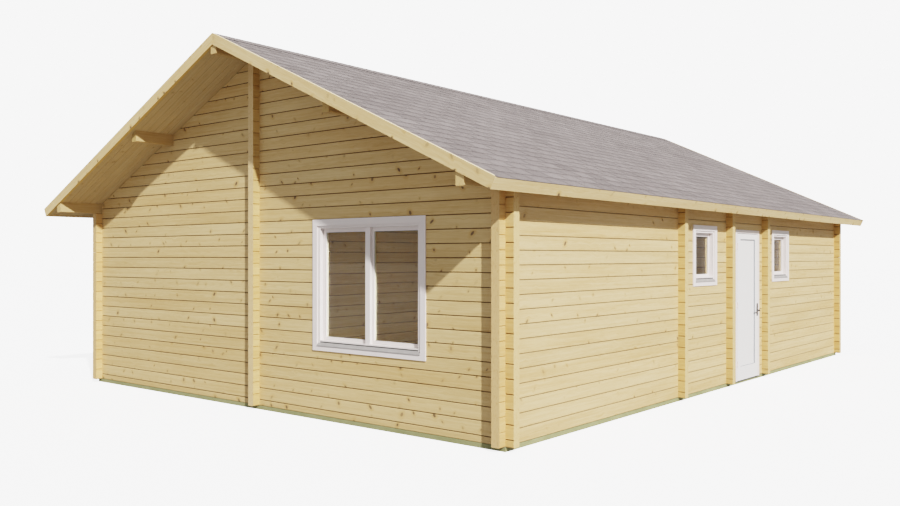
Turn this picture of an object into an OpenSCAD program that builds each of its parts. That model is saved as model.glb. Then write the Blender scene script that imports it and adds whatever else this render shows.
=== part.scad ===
// Log cabin: gable front, long side wall with a door and two small windows,
// inner log walls whose ends show outside, and a shingled gable roof that
// reaches forward over the front as a canopy. Millimetres, +Z up.
// The origin is on the ground under the middle of the roof, the front faces -Y.

/* [Walls] */
// Width over the outer wall faces
width = 7000; // [6950:10:7040]
// Length over the outer wall faces
length = 10000; // [9950:10:10150]
// Height of one log course
log_h = 135; // [133:1:137]
// Thickness of a log
log_t = 90; // [84:1:94]
// Chamfer along each log edge
log_c = 7; // [4:0.5:9]
// How far the log ends pass the crossing wall
stub = 90; // [80:5:130]
// Height of the treated base beams
base_h = 45; // [40:1:50]
// Thickness of the floor boards
floor_t = 26; // [20:1:30]

/* [Inner walls] */
// Front face of the cabin to the middle of the first cross wall
cross_1 = 3595; // [3560:5:3640]
// Front face of the cabin to the middle of the second cross wall
cross_2 = 5075; // [5060:5:5100]
// Front face of the cabin to the middle of the third cross wall
cross_3 = 6400; // [6385:5:6440]

/* [Roof] */
// Pitch of the roof in degrees
pitch = 25; // [24.8:0.1:25.1]
// Height of the ridge purlin above the centre wall
ridge_h = 107; // [104:1:112]
// Reach of the roof past the front wall
overhang_front = 610; // [500:10:800]
// Reach of the roof past the back wall
overhang_back = 490; // [400:10:700]
// Slope length from the ridge to the outer face of the eave board
slope_l = 4184; // [4150:1:4230]
// Thickness of the bargeboards and eave boards
edge_t = 36; // [28:1:40]
// Distance of a middle purlin from the ridge
purlin_x = 1720; // [1660:5:1725]
// How far the middle purlins stay in from the roof's ends
purlin_in = 90; // [60:5:200]

/* [Front window] */
// Middle of the front window, from the middle of the gable
fw_x = 1762; // [1700:2:1820]
// Half width over the casing
fw_half = 803; // [780:1:820]
// Lowest edge of the casing
fw_z0 = 740; // [730:1:760]

/* [Side windows] */
// Front face of the cabin to the middle of the first side window
sw_1 = 4335; // [4320:5:4350]
// Front face of the cabin to the middle of the second side window
sw_2 = 7130; // [7100:5:7300]
// Half width over the casing
sw_half = 367; // [350:1:380]
// Lowest edge of the casing
sw_z0 = 1372; // [1365:1:1385]

/* [Window parts] */
// Highest edge of all casings
casing_top = 2140; // [2130:1:2145]
// Width of a casing board
casing_w = 70; // [62:1:76]
// Thickness of a casing board
casing_t = 12; // [8:1:20]
// Distance from the wall face to the sash
sash_d = 50; // [46:1:52]

/* [Door] */
// Front face of the cabin to the middle of the door
door_y = 5810; // [5805:1:5815]
// Half width of the doorway in the logs
door_half = 445; // [443:1:450]
// Top of the doorway in the logs
door_top = 2118; // [2112:1:2124]
// Thickness of the door leaf
leaf_t = 44; // [40:1:45]

/* [Hidden] */

// short names
h = log_h;
t = log_t;
b = base_h;
W2 = width / 2;
// gap that parts two pieces
g = 0.5;
// outer faces of the front and back walls, and the roof's ends
yF = -(length + overhang_back - overhang_front) / 2;
yB = yF + length;
y0 = yF - overhang_front;
y1 = yB + overhang_back;
// number of the log that lies on top of the side walls, of the middle purlins and of the ridge
kP = 17;
kM = 23;
kR = 29;
apex = b + kR * h + ridge_h;
// middles of the walls
xs = W2 - t / 2;
yf = yF + t / 2;
yb = yB - t / 2;
crosses = [yF + cross_1, yF + cross_2, yF + cross_3];
floor_z = b + floor_t;

wood = [0.84, 0.74, 0.56];
pine = [0.87, 0.78, 0.60];
green = [0.62, 0.62, 0.44];
white = [0.93, 0.92, 0.91];
slate = [0.62, 0.59, 0.58];
grey = [0.55, 0.55, 0.56];
steel = [0.5, 0.5, 0.52];
dark = [0.28, 0.28, 0.28];
pane = [0.75, 0.82, 0.85, 0.4];

// underside of the roof boards
function soffit(x) = apex - tan(pitch) * abs(x);
function soffit_x(z) = (apex - z) / tan(pitch);
// a point at slope length s and height n above the underside
function slope(s, n) = [s * cos(pitch) + n * sin(pitch), apex - s * sin(pitch) + n * cos(pitch)];
function ridge_z(n, x) = apex - tan(pitch) * x + n / cos(pitch);
// courses of the walls across the cabin start with half a log
function xz0(k) = k == 0 ? b : b + (k - 0.5) * h;
function xz1(k) = b + (k + 0.5) * h;
function yz0(k) = b + k * h;
function yz1(k) = b + (k + 1) * h;

// section of a log, across and up
module log_section(z0, z1) {
    a = t / 2;
    c = log_c;
    lo = z0 + g / 2;
    hi = z1 - g / 2;
    polygon([[c - a, lo], [a - c, lo], [a, lo + c], [a, hi - c],
        [a - c, hi], [c - a, hi], [-a, hi - c], [-a, lo + c]]);
}
module log_across(xa, xb, y, z0, z1)
    translate([xa, y, 0]) rotate([90, 0, 90]) linear_extrude(xb - xa) log_section(z0, z1);
module log_along(ya, yb, x, z0, z1)
    translate([x, yb, 0]) rotate([90, 0, 0]) linear_extrude(yb - ya) log_section(z0, z1);
module block(xa, xb, ya, yb, za, zb)
    translate([xa, ya, za]) cube([xb - xa, yb - ya, zb - za]);

// log k of a wall across the cabin; cols holds [x of a crossing wall, its top log],
// holes holds [x from, x to, z from, z to]
module xlog(k, xa, xb, y, cols, holes) {
    z0 = xz0(k);
    z1 = xz1(k);
    difference() {
        log_across(xa, xb, y, z0, z1);
        for (c = cols) {
            if (k > 0 && k - 1 <= c[1])
                block(c[0] - t / 2 - g, c[0] + t / 2 + g, y - t, y + t, z0 - 1, b + (k - 0.25) * h + g / 2);
            if (k <= c[1])
                block(c[0] - t / 2 - g, c[0] + t / 2 + g, y - t, y + t, b + (k + 0.25) * h - g / 2, z1 + 1);
        }
        for (o = holes) if (o[2] < z1 - 1 && o[3] > z0 + 1)
            block(o[0], o[1], y - t, y + t, o[2] < z0 + 1 ? z0 - 5 : o[2], o[3] > z1 - 1 ? z1 + 5 : o[3]);
    }
}
// log k of a wall along the cabin; cols holds [y of a crossing wall, its top log]
module ylog(k, ya, yb, x, cols, holes) {
    z0 = yz0(k);
    z1 = yz1(k);
    difference() {
        log_along(ya, yb, x, z0, z1);
        for (c = cols) {
            if (k <= c[1])
                block(x - t, x + t, c[0] - t / 2 - g, c[0] + t / 2 + g, z0 - 1, b + (k + 0.25) * h + g / 2);
            if (k + 1 <= c[1])
                block(x - t, x + t, c[0] - t / 2 - g, c[0] + t / 2 + g, b + (k + 0.75) * h - g / 2, z1 + 1);
        }
        for (o = holes) if (o[2] < z1 - 1 && o[3] > z0 + 1)
            block(x - t, x + t, o[0], o[1], o[2] < z0 + 1 ? z0 - 5 : o[2], o[3] > z1 - 1 ? z1 + 5 : o[3]);
    }
}

// ---- openings in the walls ----
// frame of a window reaches this far in from the edge of its casing
frame_in = casing_w - 6;
fw_hole = [fw_x - fw_half + frame_in - 3, fw_x + fw_half - frame_in + 3, fw_z0 + 32, casing_top - 52];
function sw_hole(y) = [yF + y - sw_half + frame_in - 3, yF + y + sw_half - frame_in + 3, sw_z0 + 32, casing_top - 52];
door_hole = [yF + door_y - door_half, yF + door_y + door_half, 0, door_top];
// doorways in the inner walls, heads on a log joint
inner_1 = [yF + 2740, yF + 3470, b, b + 15 * h];
inner_2 = [yF + 5370, yF + 6120, b, b + 15 * h];
inner_3 = [480, 1230, b, b + 15.5 * h];

// ---- base and floor ----
module base_beams() {
    color(green) {
        block(-W2, W2, yF, yF + t, 0, b - g / 2);
        block(-W2, W2, yB - t, yB, 0, b - g / 2);
        block(-W2, -W2 + t, yF + t + g, yB - t - g, 0, b - g / 2);
        difference() {
            block(W2 - t, W2, yF + t + g, yB - t - g, 0, b - g / 2);
            // low under the door
            block(W2 - 2 * t, W2 + t, door_hole[0], door_hole[1], 19, b + 10);
        }
        block(-t / 2, t / 2, yF + t + g, yB - t - g, 0, b - g / 2);
        for (y = crosses) block(t / 2 + g, W2 - t - g, y - t / 2, y + t / 2, 0, b - g / 2);
    }
}
// rooms as [x from, x to, y from, y to] between the wall faces
rooms = concat([[-W2 + t, -t / 2, yF + t, yB - t]],
    [for (i = [0:3]) [t / 2, W2 - t, i == 0 ? yF + t : crosses[i - 1] + t / 2,
        i == 3 ? yB - t : crosses[i] - t / 2]]);
module floor_joists() {
    color(green) for (r = rooms) {
        n = 5;
        p = (r[1] - r[0] - 60 - 45) / (n - 1);
        for (i = [0:n - 1])
            translate([r[0] + 30 + i * p, r[2] + 20, 0]) cube([45, r[3] - r[2] - 40, b - g / 2]);
    }
}
module floor_boards() {
    color(pine) {
        for (r = rooms) block(r[0] + 3, r[1] - 3, r[2] + 3, r[3] - 3, b + g / 2, floor_z);
        // strips that carry the floor through the inner doorways
        for (o = [inner_1, inner_2])
            block(-t / 2 - 2, t / 2 + 2, o[0] + 1, o[1] - 1, b + g / 2, floor_z);
        for (y = [crosses[1], crosses[2]])
            block(inner_3[0] + 1, inner_3[1] - 1, y - t / 2 - 2, y + t / 2 + 2, b + g / 2, floor_z);
    }
}

// ---- log walls ----
across_cols = [[-xs, kP], [0, kR - 1], [xs, kP]];
module across_wall(y, holes)
    for (k = [0:kP]) intersection() {
        xlog(k, -W2 - stub, W2 + stub, y, across_cols, holes);
        // the top log is cut to the roof
        if (k == kP) under_roof(y - t, y + t);
        else block(-W2 - 500, W2 + 500, y - t, y + t, 0, apex);
    }
// space under the roof boards
module under_roof(ya, yb)
    translate([0, yb, 0]) rotate([90, 0, 0]) linear_extrude(yb - ya)
        polygon([[-W2 - 200, 0], [W2 + 200, 0], [W2 + 200, soffit(W2 + 200) - g],
            [0, apex - g], [-W2 - 200, soffit(W2 + 200) - g]]);
module front_wall() { color(wood) across_wall(yf, [fw_hole]); }
module back_wall() { color(wood) across_wall(yb, []); }
module left_wall() {
    color(wood) for (k = [0:kP - 1])
        ylog(k, yF - stub, yB + stub, -xs, [[yf, kR], [yb, kR]], []);
}
side_cols = concat([[yf, kR], [yb, kR]], [for (y = crosses) [y, kP]]);
module right_wall() {
    color(wood) for (k = [0:kP - 1])
        ylog(k, yF - stub, yB + stub, xs, side_cols, [sw_hole(sw_1), sw_hole(sw_2), door_hole]);
}
module centre_wall() {
    color(wood) for (k = [0:kR - 1])
        ylog(k, yF - stub, yB + stub, 0, side_cols, [inner_1, inner_2]);
}
module cross_wall(y, holes)
    for (k = [0:kP]) intersection() {
        xlog(k, -t / 2, W2 + stub, y, [[0, kR - 1], [xs, kP]], holes);
        if (k == kP) under_roof(y - t, y + t);
        else block(-500, W2 + 500, y - t, y + t, 0, apex);
    }
module cross_wall_front() { color(wood) cross_wall(crosses[0], []); }
module cross_wall_middle() { color(wood) cross_wall(crosses[1], [inner_3]); }
module cross_wall_back() { color(wood) cross_wall(crosses[2], [inner_3]); }

// gable logs above the side walls, cut to the roof and let in around the purlins
module gable(y) {
    for (k = [kP + 1:kR]) difference() {
        intersection() {
            xlog(k, -W2, W2, y, [[0, kR - 1]], []);
            under_roof(y - t, y + t);
            if (k == kP + 1) block(-W2 + t + g, W2 - t - g, y - t, y + t, 0, apex);
            else block(-W2 - 500, W2 + 500, y - t, y + t, 0, apex);
        }
        if (k == kM || k == kM + 1) for (s = [-1, 1])
            block(s * purlin_x - t / 2 - g, s * purlin_x + t / 2 + g, y - t, y + t, yz0(kM) - g, apex);
        if (k == kR) block(-t / 2 - g, t / 2 + g, y - t, y + t, yz0(kR) - g, apex + 10);
    }
}
module front_gable() { color(wood) gable(yf); }
module back_gable() { color(wood) gable(yb); }

// ---- purlins ----
// beam along the cabin at x, from the foot of log k up to the roof boards; its ends stay in
// from the roof's ends by ins and are let in under the edge boards where they pass there
module purlin(x, k, cols, ins) {
    lo = yz0(k) + g / 2;
    a = t / 2;
    c = log_c;
    difference() {
        translate([0, y1 - ins, 0]) rotate([90, 0, 0]) linear_extrude(y1 - y0 - 2 * ins)
            polygon([[x - a, lo + c], [x - a + c, lo], [x + a - c, lo], [x + a, lo + c],
                [x + a, soffit(x + a) - g], if (x == 0) [0, apex - g], [x - a, soffit(x - a) - g]]);
        for (y = cols) block(x - t, x + t, y - t / 2 - g, y + t / 2 + g, lo - 5, b + (k + 0.25) * h + g / 2);
        if (ins < edge_t) for (y = [y0 - 1, y1 - edge_t - g])
            translate([0, y + edge_t + g + 1, 0]) rotate([90, 0, 0]) linear_extrude(edge_t + g + 1)
                polygon([[x - t, soffit(x - t) - under_edge], if (x == 0) [0, apex - under_edge],
                    [x + t, soffit(x + t) - under_edge], [x + t, apex + 99], [x - t, apex + 99]]);
    }
}
// upright distance from the underside of the roof to a purlin's end under an edge board
under_edge = 7 / cos(pitch);
nose = 15;
module left_eave_purlin() { color(pine) purlin(-xs, kP, [yf, yb], nose); }
module right_eave_purlin() { color(pine) purlin(xs, kP, concat([yf, yb], crosses), nose); }
module middle_purlins() {
    color(pine) {
        purlin(-purlin_x, kM, [], purlin_in);
        purlin(purlin_x, kM, [], purlin_in);
    }
}
module ridge_purlin() { color(pine) purlin(0, kR, [], nose); }

// ---- roof ----
// heights above the underside: boards, deck, shingles, edge boards, ridge cap
n_board = 20;
n_deck = 98.5;
n_shingle = 106;
n_edge = 109;
n_low = -6;
n_cap = 112;
// layer of the right half between two heights, up to slope length s
module layer(n0, n1, s)
    translate([0, y1 - edge_t - g, 0]) rotate([90, 0, 0]) linear_extrude(y1 - y0 - 2 * edge_t - 2 * g)
        polygon([[g / 2, ridge_z(n0, g / 2)], [g / 2, ridge_z(n1, g / 2)], slope(s, n1), slope(s, n0)]);
module roof_boards_right() { color(pine) layer(0, n_board, slope_l - edge_t - g); }
module roof_boards_left() { color(pine) mirror([1, 0, 0]) layer(0, n_board, slope_l - edge_t - g); }
module roof_deck_right() { color(pine) layer(n_board + g, n_deck, slope_l - edge_t - g); }
module roof_deck_left() { color(pine) mirror([1, 0, 0]) layer(n_board + g, n_deck, slope_l - edge_t - g); }
module shingles_right() { color(slate) layer(n_deck + g, n_shingle, slope_l + 6); }
module shingles_left() { color(slate) mirror([1, 0, 0]) layer(n_deck + g, n_shingle, slope_l + 6); }
module ridge_cap() {
    color(slate) {
        cap_half();
        mirror([1, 0, 0]) cap_half();
    }
}
module cap_half() {
    s = 130;
    n0 = n_shingle + g;
    translate([0, y1 - edge_t - g, 0]) rotate([90, 0, 0]) linear_extrude(y1 - y0 - 2 * edge_t - 2 * g)
        polygon([[g / 2, ridge_z(n0, g / 2)], slope(s, n0), slope(s, n_cap), [g / 2, ridge_z(n_cap, g / 2)]]);
}
// board under the roof's sloping end at y, going inward by s
module bargeboard(y, s)
    intersection() {
        translate([0, 0, apex]) rotate([0, pitch, 0]) translate([0, 0, n_low]) linear_extrude(n_edge - n_low)
            polygon([[-200, y], [slope_l, y], [slope_l - edge_t, y + s * edge_t], [-200, y + s * edge_t]]);
        block(g / 2, W2 + 2000, y - 100, y + 100, 0, apex + 1000);
    }
module front_bargeboards() {
    color(pine) {
        bargeboard(y0, 1);
        mirror([1, 0, 0]) bargeboard(y0, 1);
    }
}
module back_bargeboards() {
    color(pine) {
        bargeboard(y1, -1);
        mirror([1, 0, 0]) bargeboard(y1, -1);
    }
}
module eave_board()
    translate([0, 0, apex]) rotate([0, pitch, 0]) translate([0, 0, n_low]) linear_extrude(n_deck - n_low)
        polygon([[slope_l, y0 + g], [slope_l, y1 - g], [slope_l - edge_t, y1 - edge_t - g],
            [slope_l - edge_t, y0 + edge_t + g]]);
module right_eave_board() { color(pine) eave_board(); }
module left_eave_board() { color(pine) mirror([1, 0, 0]) eave_board(); }

// ---- windows: u along the wall, d into the wall, v up ----
lining = 28;
stop_w = 12;
rail = 55;
reveal = 44;
// four bars around the field [-u, u] x [v0, v1], outside it by w
module bars(u, v0, v1, w, d0, d1) {
    block(-u - w, -u, d0, d1, v0 - w, v1 + w);
    block(u, u + w, d0, d1, v0 - w, v1 + w);
    block(-u + g / 2, u - g / 2, d0, d1, v1, v1 + w);
    block(-u + g / 2, u - g / 2, d0, d1, v0 - w, v0);
}
// the same without the lowest bar; the sides start at v0
module hoop(u, v0, v1, w, d0, d1) {
    block(-u - w, -u, d0, d1, v0, v1 + w);
    block(u, u + w, d0, d1, v0, v1 + w);
    block(-u + g / 2, u - g / 2, d0, d1, v1, v1 + w);
}
// inner field of the frame: half width and lower and upper edge
function field_u(half) = half - frame_in - lining - stop_w;
function field_v0(z0) = z0 + 90;
function field_v1() = casing_top - 95;
module window_frame(half, z0) {
    u = field_u(half);
    o = u + stop_w + g;
    hoop(o, z0 + 35, field_v1() + stop_w + g, lining - g, g, t - g);
    hoop(u, z0 + 58 + g, field_v1(), stop_w, g, sash_d - 2);
    // foot of the frame: lower bar, block behind the sill, weather bar over it, bar under the sash
    block(-o + g / 2, o - g / 2, g, t - g, z0 + 35, z0 + 58);
    block(-u + g, u - g, g, sash_d - 2, z0 + 58 + g, z0 + 77);
    block(-u + g, u - g, 16, sash_d - 2, z0 + 77 + g, z0 + 98);
    block(-u + g, u - g, 2, sash_d - 2, z0 + 98 + g, z0 + 112);
    block(-o + g / 2, o - g / 2, sash_d - 1, t - g, z0 + 58 + g, z0 + 92.5);
}
// post before the meeting sashes of a wide window
module window_post(z0) block(-33, 33, 16, sash_d - 2, z0 + 112 + g, field_v1() - g);
// sash whose outer field is [ua, ub] x the frame's field
module sash(ua, ub, z0) {
    c = (ua + ub) / 2;
    translate([c, 0, 0])
        bars((ub - ua) / 2 - rail, field_v0(z0) + 58, field_v1() - reveal, rail, sash_d, t - 6);
}
module sash_glass(ua, ub, z0)
    block(ua + rail + g, ub - rail - g, sash_d + 12, sash_d + 32,
        field_v0(z0) + 58 + g, field_v1() - reveal - g);
module casing(half, z0) {
    w = casing_w;
    block(-half, -half + w, -casing_t, -g / 2, z0, casing_top);
    block(half - w, half, -casing_t, -g / 2, z0, casing_top);
    block(-half + w + g / 2, half - w - g / 2, -casing_t, -g / 2, casing_top - w, casing_top);
    block(-half + w + g / 2, half - w - g / 2, -casing_t, -g / 2, z0, z0 + 50);
}
// sloping sill between the side casings; behind the wall's face it fits the frame
module sill(half, z0) {
    w = half - casing_w - g;
    u = field_u(half) - g;
    difference() {
        translate([-w, 0, 0]) rotate([90, 0, 90]) linear_extrude(2 * w)
            polygon([[-casing_t - 6, z0 + 50 + g], [4, z0 + 83], [4, z0 + 89], [-casing_t - 6, z0 + 57]]);
        for (m = [-1, 1]) block(m < 0 ? -w - 5 : u, m < 0 ? -u : w + 5, -g, 20, z0, z0 + 150);
    }
}
module at_front() translate([fw_x, yF, 0]) children();
module at_side(y) translate([W2, yF + y, 0]) rotate([0, 0, 90]) children();
fu = field_u(fw_half) + rail - reveal;
su = field_u(sw_half) + rail - reveal;
module front_window_frame() {
    color(white) at_front() {
        window_frame(fw_half, fw_z0);
        window_post(fw_z0);
    }
}
module front_window_sashes() {
    color(white) at_front() {
        sash(-fu, -2.5, fw_z0);
        sash(2.5, fu, fw_z0);
    }
}
module front_window_glass() {
    color(pane) at_front() {
        sash_glass(-fu, -2.5, fw_z0);
        sash_glass(2.5, fu, fw_z0);
    }
}
module front_window_casing() { color(white) at_front() casing(fw_half, fw_z0); }
module front_window_sill() { color(grey) at_front() sill(fw_half, fw_z0); }
module side_window_frames() { color(white) for (y = [sw_1, sw_2]) at_side(y) window_frame(sw_half, sw_z0); }
module side_window_sashes() { color(white) for (y = [sw_1, sw_2]) at_side(y) sash(-su, su, sw_z0); }
module side_window_glass() { color(pane) for (y = [sw_1, sw_2]) at_side(y) sash_glass(-su, su, sw_z0); }
module side_window_casings() { color(white) for (y = [sw_1, sw_2]) at_side(y) casing(sw_half, sw_z0); }
module side_window_sills() { color(grey) for (y = [sw_1, sw_2]) at_side(y) sill(sw_half, sw_z0); }

// ---- door: same axes as a window on the side wall ----
jamb = 48;
leaf_u = door_half - 2 - jamb - 7;
leaf_v0 = 37;
leaf_v1 = door_top - 3 - jamb - 7;
// hinge axis in front of the gap between jamb and leaf
hinge_u = -leaf_u - 3.5;
hinge_d = -8.5;
hinge_v = [230, 1040, 1850];
lever_u = leaf_u - 33;
lever_v = 975;
module at_door() at_side(door_y) children();
module door_frame() {
    o = door_half - 2;
    color(white) at_door() {
        block(-o, -o + jamb, 0, t - 2, 31, door_top - 3);
        block(o - jamb, o, 0, t - 2, 31, door_top - 3);
        block(-o + jamb + g, o - jamb - g, 0, t - 2, door_top - 3 - jamb, door_top - 3);
        // stops behind the leaf
        block(-o + jamb + g, -o + jamb + 20, leaf_t + 6, t - 2, 72, door_top - 3 - jamb - g);
        block(o - jamb - 20, o - jamb - g, leaf_t + 6, t - 2, 72, door_top - 3 - jamb - g);
        block(-o + jamb + 20 + g, o - jamb - 20 - g, leaf_t + 6, t - 2, door_top - 3 - jamb - 20, door_top - 3 - jamb - g);
    }
}
module door_threshold() {
    o = door_half - 2;
    color(dark) at_door() {
        block(-o, o, 4, leaf_t + 5, 19 + g, 30);
        block(-o + jamb + g, o - jamb - g, leaf_t + 6, t - 2, 19 + g, 70);
    }
}
// lower halves of the hinges, screwed to the jamb
module hinge_plates() {
    color(white) at_door() for (v = hinge_v) {
        translate([hinge_u, hinge_d, v]) cylinder(r = 7, h = 40, $fn = 32);
        block(hinge_u - 32, hinge_u - 2, -3.5, -0.5, v, v + 40);
    }
}
// upper halves, screwed to the leaf
module hinge_sleeves() {
    color(white) at_door() for (v = hinge_v) {
        translate([hinge_u, hinge_d, v + 41]) cylinder(r = 7, h = 40, $fn = 32);
        block(hinge_u + 2, hinge_u + 32, -3.5, -0.3, v + 41, v + 81);
    }
}
// two stiles, two rails and a thinner tall panel between them
module door_leaf() {
    p = 275;
    lo = 225;
    hi = 1985;
    color(white) at_door() {
        block(-leaf_u, -p, 0, leaf_t, leaf_v0, leaf_v1);
        difference() {
            block(p, leaf_u, 0, leaf_t, leaf_v0, leaf_v1);
            // bore of the lever's spindle
            translate([lever_u, leaf_t + 5, lever_v]) rotate([90, 0, 0]) cylinder(r = 6, h = leaf_t + 10, $fn = 32);
        }
        block(-p + g / 2, p - g / 2, 0, leaf_t, leaf_v0, lo);
        block(-p + g / 2, p - g / 2, 0, leaf_t, hi, leaf_v1);
        block(-p + g / 2, p - g / 2, 14, leaf_t - 14, lo + g / 2, hi - g / 2);
    }
}
module handle_plates() {
    color(steel) at_door() for (d = [[-4.3, -0.3], [leaf_t + 0.3, leaf_t + 4.3]]) difference() {
        block(lever_u - 21, lever_u + 21, d[0], d[1], lever_v - 82, lever_v + 106);
        translate([lever_u, d[1] + 5, lever_v]) rotate([90, 0, 0]) cylinder(r = 6, h = 14, $fn = 32);
    }
}
// spindle through the leaf with a lever on each side
module door_lever() {
    color(steel) at_door() {
        translate([lever_u, leaf_t + 46, lever_v]) rotate([90, 0, 0]) cylinder(r = 5, h = leaf_t + 92, $fn = 32);
        for (d = [-44, leaf_t + 44]) translate([lever_u + 9, d, lever_v]) rotate([0, -90, 0]) cylinder(r = 9, h = 136, $fn = 32);
        translate([lever_u, -6, lever_v]) rotate([90, 0, 0]) cylinder(r = 9, h = 38, $fn = 32);
        translate([lever_u, leaf_t + 44, lever_v]) rotate([90, 0, 0]) cylinder(r = 9, h = 38, $fn = 32);
    }
}

base_beams();
floor_joists();
floor_boards();
front_wall();
back_wall();
left_wall();
right_wall();
centre_wall();
cross_wall_front();
cross_wall_middle();
cross_wall_back();
front_gable();
back_gable();
left_eave_purlin();
right_eave_purlin();
middle_purlins();
ridge_purlin();
roof_boards_left();
roof_boards_right();
roof_deck_left();
roof_deck_right();
shingles_left();
shingles_right();
ridge_cap();
front_bargeboards();
back_bargeboards();
left_eave_board();
right_eave_board();
front_window_frame();
front_window_sashes();
front_window_glass();
front_window_casing();
front_window_sill();
side_window_frames();
side_window_sashes();
side_window_glass();
side_window_casings();
side_window_sills();
door_frame();
door_threshold();
hinge_plates();
door_leaf();
hinge_sleeves();
handle_plates();
door_lever();
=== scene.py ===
"""Looks of the log cabin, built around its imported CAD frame. Metres, +Z up, front towards -Y."""

import math

import bmesh
import bpy
import numpy as np
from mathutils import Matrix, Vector


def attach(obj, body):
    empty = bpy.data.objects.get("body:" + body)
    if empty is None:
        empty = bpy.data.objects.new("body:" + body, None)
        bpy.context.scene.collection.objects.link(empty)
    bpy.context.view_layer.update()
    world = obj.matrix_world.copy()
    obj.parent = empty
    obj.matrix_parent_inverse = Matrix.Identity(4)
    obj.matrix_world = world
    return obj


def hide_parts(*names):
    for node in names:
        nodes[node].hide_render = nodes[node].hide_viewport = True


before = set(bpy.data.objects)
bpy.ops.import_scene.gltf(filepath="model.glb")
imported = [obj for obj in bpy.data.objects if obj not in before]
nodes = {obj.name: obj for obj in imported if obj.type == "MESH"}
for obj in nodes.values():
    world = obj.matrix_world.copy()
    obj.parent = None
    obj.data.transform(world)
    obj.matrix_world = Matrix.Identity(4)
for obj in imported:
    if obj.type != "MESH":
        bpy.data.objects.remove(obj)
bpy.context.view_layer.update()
scene = bpy.context.scene
rng = np.random.default_rng(7)

# the roof's slope: s runs down from the ridge, n stands square on the underside
PITCH = math.radians(25.0)
CP, SP, TP = math.cos(PITCH), math.sin(PITCH), math.tan(PITCH)
APEX = 4.067
YA, YB = -5.5135, 5.5135


# ---------------------------------------------------------------- node helper
class Mat:
    """A material that is put together from nodes with short calls."""

    def __init__(self, name):
        self.m = bpy.data.materials.new(name)
        self.m.use_nodes = True
        self.t = self.m.node_tree
        self.t.nodes.clear()
        self.seen = {}

    def node(self, kind, **opts):
        n = self.t.nodes.new(kind)
        for k, v in opts.items():
            setattr(n, k, v)
        return n

    def put(self, sock, v):
        if isinstance(v, bpy.types.NodeSocket):
            self.t.links.new(v, sock)
        else:
            sock.default_value = v

    def once(self, key, make):
        if key not in self.seen:
            self.seen[key] = make()
        return self.seen[key]

    def obj(self):
        return self.once("tc", lambda: self.node("ShaderNodeTexCoord")).outputs["Object"]

    def nrm(self):
        return self.once("tc", lambda: self.node("ShaderNodeTexCoord")).outputs["Normal"]

    def attr(self, name):
        return self.once("at" + name, lambda: self.node("ShaderNodeAttribute", attribute_name=name)).outputs["Vector"]

    def f(self, op, a, b=None, c=None, clamp=False):
        n = self.node("ShaderNodeMath", operation=op, use_clamp=clamp)
        for i, v in enumerate((a, b, c)):
            if v is not None:
                self.put(n.inputs[i], v)
        return n.outputs[0]

    def add(self, a, b):
        return self.f("ADD", a, b)

    def sub(self, a, b):
        return self.f("SUBTRACT", a, b)

    def mul(self, a, b):
        return self.f("MULTIPLY", a, b)

    def mad(self, a, b, c):
        return self.f("MULTIPLY_ADD", a, b, c)

    def hyp(self, a, b):
        return self.f("SQRT", self.mad(a, a, self.mul(b, b)))

    def xyz(self, v):
        n = self.node("ShaderNodeSeparateXYZ")
        self.put(n.inputs[0], v)
        return n.outputs

    def vec(self, x, y, z):
        n = self.node("ShaderNodeCombineXYZ")
        for i, v in enumerate((x, y, z)):
            self.put(n.inputs[i], v)
        return n.outputs[0]

    def scaled(self, v, sx, sy, sz):
        n = self.node("ShaderNodeVectorMath", operation="MULTIPLY")
        self.put(n.inputs[0], v)
        n.inputs[1].default_value = (sx, sy, sz)
        return n.outputs[0]

    def noise(self, v, scale=1.0, detail=2.0, rough=0.5, dist=0.0):
        n = self.node("ShaderNodeTexNoise")
        self.put(n.inputs["Vector"], v)
        for k, x in (("Scale", scale), ("Detail", detail), ("Roughness", rough), ("Distortion", dist)):
            n.inputs[k].default_value = x
        return n.outputs["Fac"]

    def voronoi(self, v, scale=1.0, dims="3D", feature="F1"):
        n = self.node("ShaderNodeTexVoronoi", voronoi_dimensions=dims, feature=feature)
        self.put(n.inputs["Vector"], v)
        n.inputs["Scale"].default_value = scale
        return n.outputs

    def white(self, v):
        n = self.node("ShaderNodeTexWhiteNoise")
        self.put(n.inputs["Vector"], v)
        return n.outputs["Color"]

    def rgb(self, c):
        n = self.node("ShaderNodeSeparateColor")
        self.put(n.inputs[0], c)
        return n.outputs

    def step(self, v, a, b, c=0.0, d=1.0):
        n = self.node("ShaderNodeMapRange", interpolation_type="SMOOTHSTEP")
        for i, x in enumerate((v, a, b, c, d)):
            self.put(n.inputs[i], x)
        return n.outputs[0]

    def line(self, v, a, b, c=0.0, d=1.0):
        n = self.node("ShaderNodeMapRange", clamp=True)
        for i, x in enumerate((v, a, b, c, d)):
            self.put(n.inputs[i], x)
        return n.outputs[0]

    def mix(self, fac, a, b, blend="MIX"):
        n = self.node("ShaderNodeMix", data_type="RGBA", blend_type=blend)
        for i, v in ((0, fac), (6, a), (7, b)):
            if isinstance(v, tuple):
                v = (*v, 1.0)
            self.put(n.inputs[i], v)
        return n.outputs[2]

    def bump(self, height, strength, distance):
        n = self.node("ShaderNodeBump")
        n.inputs["Strength"].default_value = strength
        n.inputs["Distance"].default_value = distance
        self.put(n.inputs["Height"], height)
        return n.outputs["Normal"]

    def surface(self, color, normal=None, rough=0.5, metal=0.0, spec=0.5):
        p = self.node("ShaderNodeBsdfPrincipled")
        self.put(p.inputs["Base Color"], (*color, 1.0) if isinstance(color, tuple) else color)
        self.put(p.inputs["Roughness"], rough)
        p.inputs["Metallic"].default_value = metal
        p.inputs["Specular IOR Level"].default_value = spec
        if normal is not None:
            self.put(p.inputs["Normal"], normal)
        out = self.node("ShaderNodeOutputMaterial")
        self.t.links.new(p.outputs[0], out.inputs[0])
        return self.m


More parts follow.
